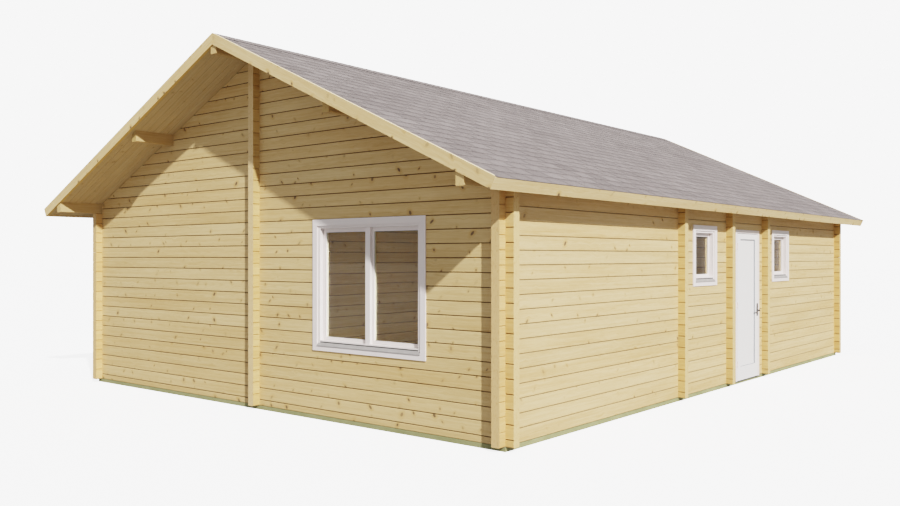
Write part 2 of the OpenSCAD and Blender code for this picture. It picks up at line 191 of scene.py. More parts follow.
# ---------------------------------------------------------------- wood
# Each kind of piece gives: along the grain, across, up (metres from the pith), a random
# colour per log or board, how far a face looks along the grain, and how far it looks up.
def log_coords(along, centre, seed, mirror=False):
    def make(m):
        x, y, z = m.xyz(m.obj())
        nx, ny, nz = m.xyz(m.nrm())
        if along == "x":
            a, c, off, na = x, m.sub(y, centre), 0.5, nx
        else:
            a, c, off, na = y, m.sub(m.f("ABSOLUTE", x) if mirror else x, centre), 0.0, ny
        t = m.mad(z, 1 / 0.135, off - 0.045 / 0.135)
        k = m.f("FLOOR", t)
        up = m.mad(m.sub(t, k), 0.135, -0.0675)
        side = m.f("SIGN", x) if mirror else 1.0
        rnd = m.white(m.vec(k, seed, side))
        return a, c, up, rnd, m.f("ABSOLUTE", na), m.f("ABSOLUTE", nz)

    return make


def slope_coords(seed):
    """Boards that run down the roof's slope at its ends."""

    def make(m):
        x, y, z = m.xyz(m.obj())
        ax = m.f("ABSOLUTE", x)
        zz = m.sub(z, APEX)
        a = m.mad(ax, CP, m.mul(zz, -SP))
        n = m.mad(ax, SP, m.mul(zz, CP))
        rnd = m.white(m.vec(m.f("SIGN", x), m.f("SIGN", y), seed))
        nx, ny, nz = m.xyz(m.nrm())
        na = m.f("ABSOLUTE", m.mad(m.f("ABSOLUTE", nx), CP, m.mul(nz, -SP)))
        return a, m.mad(m.f("ABSOLUTE", y), 1.0, -5.47), m.sub(n, 0.05), rnd, na, 0.0

    return make


def eave_coords(seed):
    """Boards that run along the eaves."""

    def make(m):
        x, y, z = m.xyz(m.obj())
        ax = m.f("ABSOLUTE", x)
        zz = m.sub(z, APEX)
        n = m.mad(ax, SP, m.mul(zz, CP))
        s = m.mad(ax, CP, m.mul(zz, -SP))
        rnd = m.white(m.vec(m.f("SIGN", x), seed, 0.5))
        nx, ny, nz = m.xyz(m.nrm())
        return y, m.sub(s, 4.13), m.sub(n, 0.05), rnd, m.f("ABSOLUTE", ny), 0.0

    return make


def board_coords():
    """Boards made here: their own coordinates are stored in the mesh."""

    def make(m):
        a, up, c = m.xyz(m.attr("lc"))
        rnd = m.white(m.scaled(m.attr("rn"), 97.0, 31.0, 57.0))
        return a, c, up, rnd, 0.0, 0.0

    return make


def wood(name, coords, pale, deep, knot=(0.174, 0.117, 0.064), knots=1.0, freq=3.8, joint_shade=None, rough=0.62, vary=0.30, crest_highlight=0.0, tip=None,
         ends=((0.98, 0.88, 0.64), (0.94, 0.80, 0.53))):
    m = Mat(name)
    a, c, up, rnd, na, nz = coords(m)
    r1, r2, r3 = m.rgb(rnd)[:3]
    place = a
    a = m.mad(r1, 41.0, a)
    # knots: one cell of a grid along each face holds one knot, some of them faint
    kx, kz = m.mul(a, freq), m.mad(up, freq, m.mul(r2, 13.0))
    v = m.voronoi(m.vec(kx, kz, 0.0), dims="2D")
    px, pz, _ = m.xyz(v["Position"])
    h1, h2, h3 = m.rgb(v["Color"])[:3]
    dz = m.mul(m.sub(kz, pz), 1 / freq)
    dx = m.mad(m.sub(kx, px), 1 / freq, m.mul(dz, m.mad(h3, 1.6, -0.8)))
    d = m.hyp(m.mul(dx, 1.2), dz)
    size = m.mad(m.mul(h1, h1), 0.012, 0.0105)
    q = m.f("DIVIDE", d, size)
    there = m.mul(m.f("POWER", m.line(h2, 0.25, 1.0, 0.30, 1.0), 1.9), m.f("GREATER_THAN", h2, 0.25))
    there = m.mul(there, m.mul(m.f("LESS_THAN", na, 0.6), knots))
    if tip:
        stub = m.step(m.f("ABSOLUTE", place), tip[0] - 0.001, tip[0] + 0.003)
        there = m.mul(there, m.sub(1.0, stub))
    core = m.mul(m.step(q, 1.2, 0.7), there)
    halo = m.mul(m.step(q, 3.4, 0.9), there)
    # the grain runs round the knots
    flow = m.mad(m.mul(dz, m.step(q, 4.5, 0.6)), -0.6, up)
    wob1 = m.noise(m.vec(m.mul(a, 0.8), m.mul(r3, 20.0), 0.0), detail=1.0)
    wob2 = m.noise(m.vec(m.mul(a, 0.7), m.mul(r2, 20.0), 4.0), detail=1.0)
    cc = m.mad(wob1, 0.05, m.add(c, m.mad(r2, 0.06, -0.055)))
    zz = m.mad(wob2, 0.05, m.add(flow, m.mad(r3, 0.10, -0.075)))
    rad = m.hyp(cc, zz)
    jit = m.noise(m.vec(m.mul(a, 2.5), m.mul(c, 60.0), m.mul(flow, 60.0)), detail=1.0)
    ring = m.f("SINE", m.mad(rad, 2 * math.pi / 0.0058, m.mul(jit, 4.0)))
    ring = m.f("POWER", m.mad(ring, 0.5, 0.5), 2.0)
    streak = m.noise(m.vec(m.mul(a, 1.0), m.mul(c, 30.0), m.mad(flow, 42.0, m.mul(r1, 9.0))), detail=3.0, rough=0.6)
    fine = m.noise(m.vec(m.mul(a, 16.0), m.mul(c, 620.0), m.mul(flow, 620.0)), detail=1.0)
    dash = m.noise(m.vec(m.mul(a, 9.0), m.mul(c, 75.0), m.mul(flow, 75.0)), detail=1.0)
    big = m.noise(m.vec(m.mul(a, 0.55), m.mul(r2, 30.0), m.mul(flow, 3.0)), detail=1.0)
    tone = m.mad(m.sub(streak, 0.5), 1.3 * vary / 0.3, 0.40)
    tone = m.mad(m.sub(ring, 0.4), 0.22, tone)
    tone = m.mad(m.sub(r3, 0.5), vary, tone)
    tone = m.mad(m.sub(dash, 0.5), 0.5, m.mad(m.sub(big, 0.5), 0.8, tone))
    tone = m.f("ADD", m.mad(m.sub(fine, 0.5), 0.35, tone), 0.0, clamp=True)
    col = m.mix(tone, pale, deep)
    warm = m.line(r2, 0.0, 1.0, 0.0, 0.5)
    col = m.mix(warm, col, m.mix(1.0, col, (1.04, 0.97, 0.90), "MULTIPLY"))
    col = m.mix(m.mul(halo, 0.6), col, m.mix(1.0, col, (0.86, 0.75, 0.59), "MULTIPLY"))
    col = m.mix(m.mul(core, 0.9), col, knot)
    height = m.mad(ring, 0.35, m.mul(fine, 0.35))
    height = m.mad(core, 0.5, height)
    if not isinstance(na, float):
        # sawn ends show the rings, small checks and a little more colour
        end = m.step(na, 0.55, 0.75)
        check = m.noise(m.vec(m.mul(c, 90.0), m.mul(up, 25.0), m.mul(r1, 50.0)), detail=3.0)
        etone = m.mad(ring, 0.55, m.mul(m.step(check, 0.5, 0.75), 0.5))
        ecol = m.mix(etone, tuple(x * y for x, y in zip(pale, ends[0])), tuple(x * y for x, y in zip(deep, ends[1])))
        col = m.mix(end, col, ecol)
    if tip:
        # the log ends that stand out of the wall are riper in colour
        col = m.mix(m.mul(stub, m.step(na, 0.7, 0.5)), col, m.mix(1.0, col, tip[1], "MULTIPLY"))
    if joint_shade:
        # painted shade in the V joints between the logs, most of it deep down
        amount, shade = joint_shade
        g = m.mul(m.step(m.f("ABSOLUTE", up), 0.0610, 0.0658), m.step(nz, 0.97, 0.90))
        g = m.mul(m.mul(g, m.step(na, 0.7, 0.5)), m.mad(stub, -tip[2] * amount, amount) if tip else amount)
        col = m.mix(g, col, m.mix(1.0, col, shade, "MULTIPLY"))
    if crest_highlight:
        # painted highlight: the upward faces of the planed edge are made paler
        ex, _, ez = m.xyz(m.nrm())
        top = m.step(m.mad(m.f("ABSOLUTE", ex), SP, m.mul(ez, CP)), 0.6, 0.9)
        col = m.mix(m.mul(top, crest_highlight), col, (0.88, 0.77, 0.55))
    return m.surface(col, m.bump(height, 0.35, 0.0012), m.mad(tone, 0.12, rough), spec=0.35)


PALE, DEEP = (0.655, 0.495, 0.262), (0.50, 0.338, 0.150)
GABLE_PALE, GABLE_DEEP = (0.675, 0.501, 0.262), (0.515, 0.342, 0.150)
SIDE_PALE, SIDE_DEEP = (0.655, 0.479, 0.255), (0.50, 0.328, 0.146)
# painted shade for the V joints: how much of it, and the colour it multiplies by
GABLE_JOINT_SHADE = (0.92, (0.14, 0.115, 0.095))
SIDE_JOINT_SHADE = (0.75, (0.25, 0.26, 0.29))
INNER_JOINT_SHADE = (0.80, (0.26, 0.21, 0.15))
RIPE, RIPE_SIDE, RIPE_CENTRE, RIPE_BEAM = (1.05, 0.97, 0.83), (1.02, 0.935, 0.81), (0.95, 0.885, 0.76), (1.02, 0.975, 0.90)
BEAM_PALE, BEAM_DEEP = (0.525, 0.398, 0.222), (0.40, 0.275, 0.128)
PALE_ENDS = ((0.99, 0.95, 0.90), (0.97, 0.90, 0.80))
RIPE_ENDS = ((1.04, 0.98, 0.92), (1.01, 0.915, 0.80))
CLEAR_ENDS = ((1.12, 1.09, 1.14), (1.10, 1.04, 1.03))
BEAM_ENDS = ((1.22, 1.13, 0.97), (1.18, 1.05, 0.85))
# end grain of the middle purlins, darkened as painted shade
PAINTED_SHADE_ENDS = ((1.03, 0.94, 0.72), (0.99, 0.85, 0.60))
wall_mats = {}
for key, along, centre, seed, mirror, joint_shade, pale, deep, ends in (
    ("front", "x", -4.895, 1.5, False, GABLE_JOINT_SHADE, GABLE_PALE, GABLE_DEEP, PALE_ENDS),
    ("back", "x", 5.015, 2.5, False, GABLE_JOINT_SHADE, GABLE_PALE, GABLE_DEEP, PALE_ENDS),
    ("cross_front", "x", -1.345, 3.5, False, INNER_JOINT_SHADE, PALE, DEEP, PALE_ENDS),
    ("cross_middle", "x", 0.135, 4.5, False, INNER_JOINT_SHADE, PALE, DEEP, PALE_ENDS),
    ("cross_back", "x", 1.460, 5.5, False, INNER_JOINT_SHADE, PALE, DEEP, PALE_ENDS),
    ("left", "y", -3.455, 6.5, False, SIDE_JOINT_SHADE, SIDE_PALE, SIDE_DEEP, RIPE_ENDS),
    ("right", "y", 3.455, 7.5, False, SIDE_JOINT_SHADE, SIDE_PALE, SIDE_DEEP, RIPE_ENDS),
    ("centre", "y", 0.0, 8.5, False, INNER_JOINT_SHADE, PALE, DEEP, CLEAR_ENDS),
    ("purlin_left", "y", -3.455, 6.5, False, None, BEAM_PALE, BEAM_DEEP, BEAM_ENDS),
    ("purlin_right", "y", 3.455, 7.5, False, None, BEAM_PALE, BEAM_DEEP, BEAM_ENDS),
    ("middle", "y", 1.72, 9.5, True, None, BEAM_PALE, BEAM_DEEP, PAINTED_SHADE_ENDS),
    ("ridge", "y", 0.0, 8.5, False, None, BEAM_PALE, BEAM_DEEP, BEAM_ENDS),
):
    wall_mats[key] = wood("log_" + key, log_coords(along, centre, seed, mirror), pale, deep, joint_shade=joint_shade, ends=ends,
                          tip=(3.500, RIPE, 0.0) if along == "x" else
                          (4.940, {"centre": RIPE_CENTRE, "left": RIPE_SIDE, "right": RIPE_SIDE}.get(key, RIPE_BEAM), 0.6),
                          knots=1.1 if joint_shade is GABLE_JOINT_SHADE else 1.0, freq=4.6 if joint_shade is GABLE_JOINT_SHADE else 3.8)
edge_slope = wood("edge_slope", slope_coords(2.5), (0.72, 0.545, 0.297), (0.575, 0.392, 0.184), crest_highlight=0.55, knots=1.6, freq=6.5)
edge_eave = wood("edge_eave", eave_coords(3.5), (0.70, 0.53, 0.295), (0.56, 0.38, 0.18), knots=1.6, freq=6.5)
board_mat = wood("roof_board", board_coords(), (0.60, 0.465, 0.266), (0.455, 0.320, 0.158), knots=0.9, vary=0.4)
floor_mat = wood("floor_board", board_coords(), (0.62, 0.45, 0.24), (0.46, 0.30, 0.14), knots=0.8, vary=0.4)


def treated():
    """Sawn wood with green preservative, uneven and a little streaky."""
    m = Mat("treated_wood")
    p = m.obj()
    blot = m.noise(p, 3.2, 4.0, 0.6)
    saw = m.noise(m.scaled(p, 8.0, 8.0, 160.0), 1.0, 3.0, 0.6)
    fine = m.noise(p, 190.0, 2.0)
    tone = m.mad(m.sub(blot, 0.5), 1.4, m.mad(m.sub(saw, 0.5), 0.9, m.mad(m.sub(fine, 0.5), 0.5, 0.5)))
    col = m.mix(m.f("ADD", tone, 0.0, clamp=True), (0.365, 0.352, 0.190), (0.228, 0.228, 0.112))
    h = m.mad(saw, 0.7, m.mul(fine, 0.3))
    return m.surface(col, m.bump(h, 0.5, 0.002), m.mad(blot, 0.2, 0.65), spec=0.3)


def paint(name, colour):
    """Satin paint with faint brush marks and unevenness."""
    m = Mat(name)
    p = m.obj()
    blot = m.noise(p, 2.3, 3.0, 0.6)
    brush = m.noise(m.scaled(p, 60.0, 60.0, 9.0), 1.0, 2.0)
    peel = m.noise(p, 420.0, 1.0)
    tone = m.mad(m.sub(blot, 0.5), 0.9, m.mad(m.sub(brush, 0.5), 0.3, 0.5))
    col = m.mix(m.f("ADD", tone, 0.0, clamp=True), colour, tuple(c * k for c, k in zip(colour, (0.945, 0.945, 0.955))))
    return m.surface(col, m.bump(m.mad(brush, 0.5, m.mul(peel, 0.5)), 0.10, 0.0006), m.line(blot, 0.3, 0.7, 0.36, 0.46), spec=0.45)


def metal(name, colour, rough, brush=(40.0, 40.0, 900.0)):
    m = Mat(name)
    p = m.obj()
    lines = m.noise(m.scaled(p, *brush), 1.0, 2.0)
    blot = m.noise(p, 14.0, 3.0)
    tone = m.mad(m.sub(lines, 0.5), 0.6, m.mad(m.sub(blot, 0.5), 0.6, 0.5))
    col = m.mix(m.f("ADD", tone, 0.0, clamp=True), colour, tuple(c * 0.8 for c in colour))
    return m.surface(col, m.bump(lines, 0.12, 0.0004), m.line(blot, 0.3, 0.7, rough - 0.06, rough + 0.06), metal=1.0)


def sheet_grey(name, colour, rough):
    """Coated sheet metal with dust in faint runs."""
    m = Mat(name)
    p = m.obj()
    dust = m.noise(m.scaled(p, 9.0, 9.0, 9.0), 1.0, 4.0, 0.65)
    grit = m.noise(p, 350.0, 2.0)
    tone = m.mad(m.sub(dust, 0.5), 1.2, m.mad(m.sub(grit, 0.5), 0.4, 0.5))
    col = m.mix(m.f("ADD", tone, 0.0, clamp=True), colour, tuple(c * 0.74 for c in colour))
    return m.surface(col, m.bump(grit, 0.15, 0.0005), m.line(dust, 0.3, 0.7, rough - 0.08, rough + 0.08), spec=0.5)


def shingle():
    """Felt with mineral grains: every tab has its own tone, grains and faint stains."""
    m = Mat("shingle_felt")
    p = m.obj()
    tone = m.xyz(m.attr("rn"))[0]
    # each tab is palest in the lower middle and darker towards its neighbours and under the row above: a printed shadow
    # band together with painted shade
    u, v, _ = m.xyz(m.attr("lc"))
    band_and_shade = m.mul(m.step(m.f("ABSOLUTE", m.sub(u, 0.5)), 0.49, 0.26), m.step(v, 0.05, 0.42))
    grains = m.voronoi(p, 430.0)["Color"]
    g1, g2, _ = m.rgb(grains)[:3]
    clump = m.noise(p, 34.0, 3.0, 0.6)
    stain = m.noise(m.scaled(p, 1.3, 1.1, 1.3), 1.0, 3.0, 0.6)
    t = m.mad(m.sub(g1, 0.5), 0.55, m.mad(m.sub(band_and_shade, 0.55), 0.20, tone))
    t = m.mad(m.sub(clump, 0.5), 0.7, t)
    t = m.mad(m.sub(stain, 0.5), 0.35, t)
    col = m.mix(m.f("ADD", t, 0.0, clamp=True), (0.142, 0.121, 0.116), (0.287, 0.253, 0.243))
    # single grains of a warmer and a darker stone
    col = m.mix(m.step(g2, 0.92, 0.97), col, (0.30, 0.24, 0.21))
    col = m.mix(m.step(g2, 0.08, 0.03), col, (0.07, 0.065, 0.065))
    return m.surface(col, m.bump(m.mad(g1, 0.7, m.mul(clump, 0.5)), 0.55, 0.0016), m.line(clump, 0.3, 0.7, 0.82, 0.95), spec=0.25)


def glass(name, ior):
    m = Mat(name)
    p = m.node("ShaderNodeBsdfPrincipled")
    p.inputs["Base Color"].default_value = (0.93, 0.96, 0.95, 1.0)
    p.inputs["Roughness"].default_value = 0.02
    p.inputs["IOR"].default_value = ior
    p.inputs["Transmission Weight"].default_value = 1.0
    wave = m.noise(m.obj(), 1.7, 1.0)
    m.put(p.inputs["Normal"], m.bump(wave, 0.01, 0.01))
    clear = m.node("ShaderNodeBsdfTransparent")
    light = m.node("ShaderNodeLightPath")
    mix = m.node("ShaderNodeMixShader")
    out = m.node("ShaderNodeOutputMaterial")
    m.t.links.new(light.outputs["Is Shadow Ray"], mix.inputs[0])
    m.t.links.new(p.outputs[0], mix.inputs[1])
    m.t.links.new(clear.outputs[0], mix.inputs[2])
    m.t.links.new(mix.outputs[0], out.inputs[0])
    return m.m


treated_mat = treated()
white_mat = paint("white_paint", (0.825, 0.745, 0.704))
spacer_mats = {"front": paint("pane_spacer", (0.82, 0.70, 0.47)), "side": paint("pane_spacer_side", (0.52, 0.35, 0.18))}
rim_mat = sheet_grey("pane_rim", (0.150, 0.128, 0.100), 0.6)
# grey of the door panel's gasket, which also serves as painted shade in the recess
gasket_and_shade_mat = sheet_grey("panel_gasket_and_shade", (0.300, 0.315, 0.345), 0.6)
door_mat = paint("door_paint", (0.84, 0.805, 0.775))
sill_mat = sheet_grey("sill_grey", (0.385, 0.360, 0.343), 0.45)
# near-black of the seals over the sills, which serve as painted shade, and of the key slots
seal_and_shade_mat = sheet_grey("seal_and_painted_shade", (0.060, 0.058, 0.056), 0.6)
step_mat = sheet_grey("threshold_dark", (0.075, 0.072, 0.070), 0.5)
lever_mat = metal("lever_steel", (0.17, 0.175, 0.19), 0.42)
plate_mat = metal("plate_steel", (0.34, 0.35, 0.385), 0.45)
shingle_mat = shingle()
glass_mats = {"front": glass("window_glass_front", 1.34), "side": glass("window_glass_side", 1.15)}


def dress(node, mat):
    o = nodes[node]
    o.data.materials.clear()
    o.data.materials.append(mat)
    return o


def soften(node, width, segments=2):
    """Rounds the edges of a CAD piece as it is shown."""
    b = nodes[node].modifiers.new("edge", "BEVEL")
    b.width = width
    b.segments = segments
    b.limit_method = "ANGLE"
    b.angle_limit = math.radians(40)
    b.harden_normals = False


for node, key in (
    ("front_wall", "front"), ("front_gable", "front"), ("back_wall", "back"), ("back_gable", "back"),
    ("left_wall", "left"), ("right_wall", "right"), ("centre_wall", "centre"),
    ("cross_wall_front", "cross_front"), ("cross_wall_middle", "cross_middle"), ("cross_wall_back", "cross_back"),
    ("left_eave_purlin", "purlin_left"), ("right_eave_purlin", "purlin_right"), ("middle_purlins", "middle"),
    ("ridge_purlin", "ridge"), ("roof_deck_left", "ridge"), ("roof_deck_right", "ridge"),
):
    dress(node, wall_mats[key])
for node in ("base_beams", "floor_joists"):
    dress(node, treated_mat)
for node in ("front_bargeboards", "back_bargeboards"):
    dress(node, edge_slope)
    soften(node, 0.003)
for node in ("left_eave_board", "right_eave_board"):
    dress(node, edge_eave)
    soften(node, 0.003)
for node in ("front_window_frame", "front_window_sashes", "side_window_frames", "side_window_sashes"):
    dress(node, white_mat)
    soften(node, 0.0025)
for node in ("front_window_casing", "side_window_casings"):
    dress(node, white_mat)
    soften(node, 0.003)
for node in ("front_window_sill", "side_window_sills"):
    dress(node, sill_mat)
    soften(node, 0.0015)
for label, mat in glass_mats.items():
    dress(label + "_window_glass", mat)
dress("door_frame", white_mat)
soften("door_frame", 0.0025)
dress("door_leaf", door_mat)
soften("door_leaf", 0.0025)
dress("door_threshold", step_mat)
soften("door_threshold", 0.002)
for node in ("hinge_plates", "hinge_sleeves"):
    dress(node, white_mat)
    soften(node, 0.0008)
dress("handle_plates", plate_mat)
dress("door_lever", lever_mat)


# ---------------------------------------------------------------- meshes
def turn_outward(me):
    b = bmesh.new()
    b.from_mesh(me)
    bmesh.ops.recalc_face_normals(b, faces=b.faces)
    b.to_mesh(me)
    b.free()


class Soup:
    """Collects closed little solids into one mesh, with coordinates and a random value each."""

    def __init__(self):
        self.v, self.f, self.lc, self.rn = [], [], [], []

    def add(self, pts, faces, lc, rn):
        base = len(self.v)
        self.v.extend(pts)
        self.f.extend([tuple(base + i for i in f) for f in faces])
        self.lc.extend(lc)
        self.rn.extend([rn] * len(pts))

    def build(self, name, mat, body, slot, replaces=(), smooth=False):
        me = bpy.data.meshes.new(name)
        me.from_pydata([tuple(p) for p in self.v], [], self.f)
        for key, data in (("lc", self.lc), ("rn", self.rn)):
            at = me.attributes.new(key, "FLOAT_VECTOR", "POINT")
            at.data.foreach_set("vector", np.asarray(data, dtype=np.float32).ravel())
        me.materials.append(mat)
        me.validate()
        if smooth:
            turn_outward(me)
            me.polygons.foreach_set("use_smooth", [len(p.vertices) == 4 for p in me.polygons])
        me.update()
        o = bpy.data.objects.new(name, me)
        scene.collection.objects.link(o)
        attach(o, body)
        if replaces:
            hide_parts(*replaces)
        return o


def prism(soup, profile, place, a0, a1, rn, flip=False):
    """A board: profile of (across, up) points, run along a from a0 to a1. place maps (a, c, up) to a point.
    a0 and a1 may be functions of (c, up), for mitred ends."""
    n = len(profile)
    pts, lc = [], []
    for end in (a0, a1):
        for c, u in profile:
            a = end(c, u) if callable(end) else end
            pts.append(place(a, c, u))
            lc.append((a, c, u))
    faces = [(i, (i + 1) % n, n + (i + 1) % n, n + i) for i in range(n)]
    faces += [tuple(reversed(range(n))), tuple(range(n, 2 * n))]
    if flip:
        faces = [tuple(reversed(f)) for f in faces]
    soup.add(pts, faces, lc, rn)


def slope_point(side):
    def place(s, y, n):
        return (side * (s * CP + n * SP), y, APEX - s * SP + n * CP)

    return place


def random3():
    return tuple(float(x) for x in rng.random(3))


# boards under the roof, each running down the slope, with V joints seen from below
for side, label in ((1, "right"), (-1, "left")):
    soup = Soup()
    count = 115
    w = (YB - YA) / count
    put = slope_point(side)
    for i in range(count):
        c0, c1 = YA + i * w + 0.0004, YA + (i + 1) * w - 0.0004
        v = 0.0045
        prof = [(c0, v), (c0 + v, 0.0), (c1 - v, 0.0), (c1, v), (c1, 0.0195), (c0, 0.0195)]
        mid = (c0 + c1) / 2
        top = lambda c, u: (0.0003 - u * SP) / CP
        n = len(prof)
        pts, lc = [], []
        for end in (top, lambda c, u: 4.1470):
            for c, u in prof:
                s = end(c, u)
                pts.append(put(s, c, u))
                lc.append((s, c - mid, u))
        faces = [(j, (j + 1) % n, n + (j + 1) % n, n + j) for j in range(n)]
        faces += [tuple(reversed(range(n))), tuple(range(n, 2 * n))]
        if side < 0:
            faces = [tuple(reversed(f)) for f in faces]
        soup.add(pts, faces, lc, random3())
    soup.build("roof_boards_" + label + "_laid", board_mat, "root", "roof_board_wood", ("roof_boards_" + label,))

# shingles: overlapping rows of tabs, each a thin plate that leans on the row below
EXPOSE, LAP, TAB = 0.180, 0.045, 0.290
for side, label in ((1, "right"), (-1, "left")):
    soup = Soup()
    put = slope_point(side)

    def plate(s0, s1, ya, yb, top0, top1, bot0, bot1, v0, rn):
        pts = [put(s0, ya, bot0), put(s1, ya, bot1), put(s1, yb, bot1), put(s0, yb, bot0),
               put(s0, ya, top0), put(s1, ya, top1), put(s1, yb, top1), put(s0, yb, top0)]
        faces = [(3, 2, 1, 0), (4, 5, 6, 7), (0, 1, 5, 4), (1, 2, 6, 5), (2, 3, 7, 6), (3, 0, 4, 7)]
        if side < 0:
            faces = [tuple(reversed(f)) for f in faces]
        soup.add(pts, faces, [(0.0, v0, 0.0), (0.0, 1.0, 0.0), (1.0, 1.0, 0.0), (1.0, v0, 0.0)] * 2, rn)

    # a felt underlay closes the slots between the tabs, and a strip of it lifts the lowest row
    plate(0.012, 3.989, YA, YB, 0.0991, 0.0991, 0.0988, 0.0988, 0.5, (0.30, 0.5, 0.5))
    plate(3.990, 4.1835, YA, YB, 0.1016, 0.1016, 0.0990, 0.0990, 0.5, (0.30, 0.5, 0.5))
    row = 0
    s1 = 4.1855
    while s1 > 0.10:
        s0 = max(s1 - EXPOSE - LAP, 0.012)
        y = YA - TAB * ((0.25 * row) % 1.0 + 0.06 * rng.random())
        while y < YB:
            ya, yb = max(y + 0.0025, YA), min(y + TAB - 0.0025, YB)
            if yb - ya > 0.004:
                pick = rng.random()
                tone = 0.50 + 0.07 * rng.normal()
                if pick < 0.15:
                    tone = 0.36 + 0.05 * rng.normal()
                elif pick > 0.88:
                    tone = 0.64 + 0.05 * rng.normal()
                lift = 0.0007 * rng.random()
                plate(s0, s1 + 0.002 * (rng.random() - 0.5), ya, yb, 0.1016, 0.1052 + lift, 0.0992, 0.1032, (s0 - s1) / EXPOSE + 1.0,
                      (float(np.clip(tone, 0.08, 0.95)), float(rng.random()), float(rng.random())))
            y += TAB
        s1 -= EXPOSE
        row += 1
    soup.build("shingle_tabs_" + label, shingle_mat, "root", "shingle", ("shingles_" + label,))

# ridge: folded caps that overlap from the back to the front
soup = Soup()
y = YA
while y < YB - 0.02:
    ya, yb = y, min(y + 0.25, YB)
    half = 0.125
    ring0, ring1 = [], []
    for yy, top, bot, ring in ((ya, 0.1110, 0.1095, ring0), (yb, 0.1082, 0.1069, ring1)):
        for n, order in ((top, (-1, 0, 1)), (bot, (1, 0, -1))):
            for sg in order:
                s = half if sg else -n * SP / CP
                ring.append((sg * (s * CP + n * SP) if sg else 0.0, yy, APEX - s * SP + n * CP))
    faces = [(0, 1, 7, 6), (1, 2, 8, 7), (2, 3, 9, 8), (3, 4, 10, 9), (4, 5, 11, 10), (5, 0, 6, 11),
             (0, 5, 4, 1), (1, 4, 3, 2), (6, 7, 10, 11), (7, 8, 9, 10)]
    pts = ring0 + ring1
    soup.add(pts, faces, [(0.29, 0.6, 0.0)] * 12, (float(np.clip(0.56 + 0.08 * rng.normal(), 0.1, 0.9)), 0.5, 0.5))
    y += 0.145
soup.build("ridge_caps_laid", shingle_mat, "root", "shingle", ("ridge_cap",))

# floor boards, laid along the cabin in every room and across the inner doorways
soup = Soup()
floor_lo, floor_hi = 0.0453, 0.0710


def lay(x0, x1, y0, y1, along):
    width = (x1 - x0) if along == "y" else (y1 - y0)
    count = max(1, round(width / 0.115))
    w = width / count
    for i in range(count):
        c0, c1 = -w / 2 + 0.0003, w / 2 - 0.0003
        v = 0.002
        prof = [(c0, floor_lo), (c1, floor_lo), (c1, floor_hi - v), (c1 - v, floor_hi), (c0 + v, floor_hi), (c0, floor_hi - v)]
        if along == "y":
            mid = x0 + (i + 0.5) * w
            prism(soup, prof, lambda a, c, u: (mid + c, a, u), y0, y1, random3(), flip=True)
        else:
            mid = y0 + (i + 0.5) * w
            prism(soup, prof, lambda a, c, u: (a, mid + c, u), x0, x1, random3())


for x0, x1, y0, y1 in ((-3.407, -0.048, -4.847, 4.967), (0.048, 3.407, -4.847, -1.393), (0.048, 3.407, -1.297, 0.087),
                       (0.048, 3.407, 0.183, 1.412), (0.048, 3.407, 1.508, 4.967)):
    lay(x0, x1, y0, y1, "y")
for y0, y1 in ((-2.199, -1.471), (0.431, 1.179)):
    lay(-0.047, 0.047, y0, y1, "x")
for yc in (0.135, 1.460):
    lay(0.481, 1.229, yc - 0.047, yc + 0.047, "y")
soup.build("floor_boards_laid", floor_mat, "root", "floor_wood", ("floor_boards",))


# ---------------------------------------------------------------- windows and door
# u runs along the wall, d into it and v up, each in metres from the opening's middle
def at_front(u, d, v):
    return (1.762 + u, -4.940 + d, v)


def at_side(y):
    return lambda u, d, v: (3.500 - d, y + u, v)


def brick(soup, at, u0, u1, d0, d1, v0, v1):
    pts = [at(u, d, v) for v in (v0, v1) for u, d in ((u0, d0), (u1, d0), (u1, d1), (u0, d1))]
    faces = [(3, 2, 1, 0), (4, 5, 6, 7), (0, 1, 5, 4), (1, 2, 6, 5), (2, 3, 7, 6), (3, 0, 4, 7)]
    soup.add(pts, faces, [(u0, d0, v0)] * 8, (0.5, 0.5, 0.5))


def tube(soup, at, path, seg=20):
    """A bar along a level path of (u, d, v, half thickness, half height) with closed ends."""
    rings = []
    for i, (u, d, v, r, k) in enumerate(path):
        a, b = path[max(i - 1, 0)], path[min(i + 1, len(path) - 1)]
        du, dd = b[0] - a[0], b[1] - a[1]
        size = math.hypot(du, dd)
        nu, nd = -dd / size, du / size
        rings.append([at(u + nu * r * math.cos(t), d + nd * r * math.cos(t), v + k * math.sin(t))
                      for t in (2 * math.pi * j / seg for j in range(seg))])
    faces = [(i * seg + j, i * seg + (j + 1) % seg, (i + 1) * seg + (j + 1) % seg, (i + 1) * seg + j)
             for i in range(len(rings) - 1) for j in range(seg)]
    faces += [tuple(reversed(range(seg))), tuple(range((len(rings) - 1) * seg, len(rings) * seg))]
    pts = [q for ring in rings for q in ring]
    soup.add(pts, faces, [(0.0, 0.0, 0.0)] * len(pts), (0.5, 0.5, 0.5))


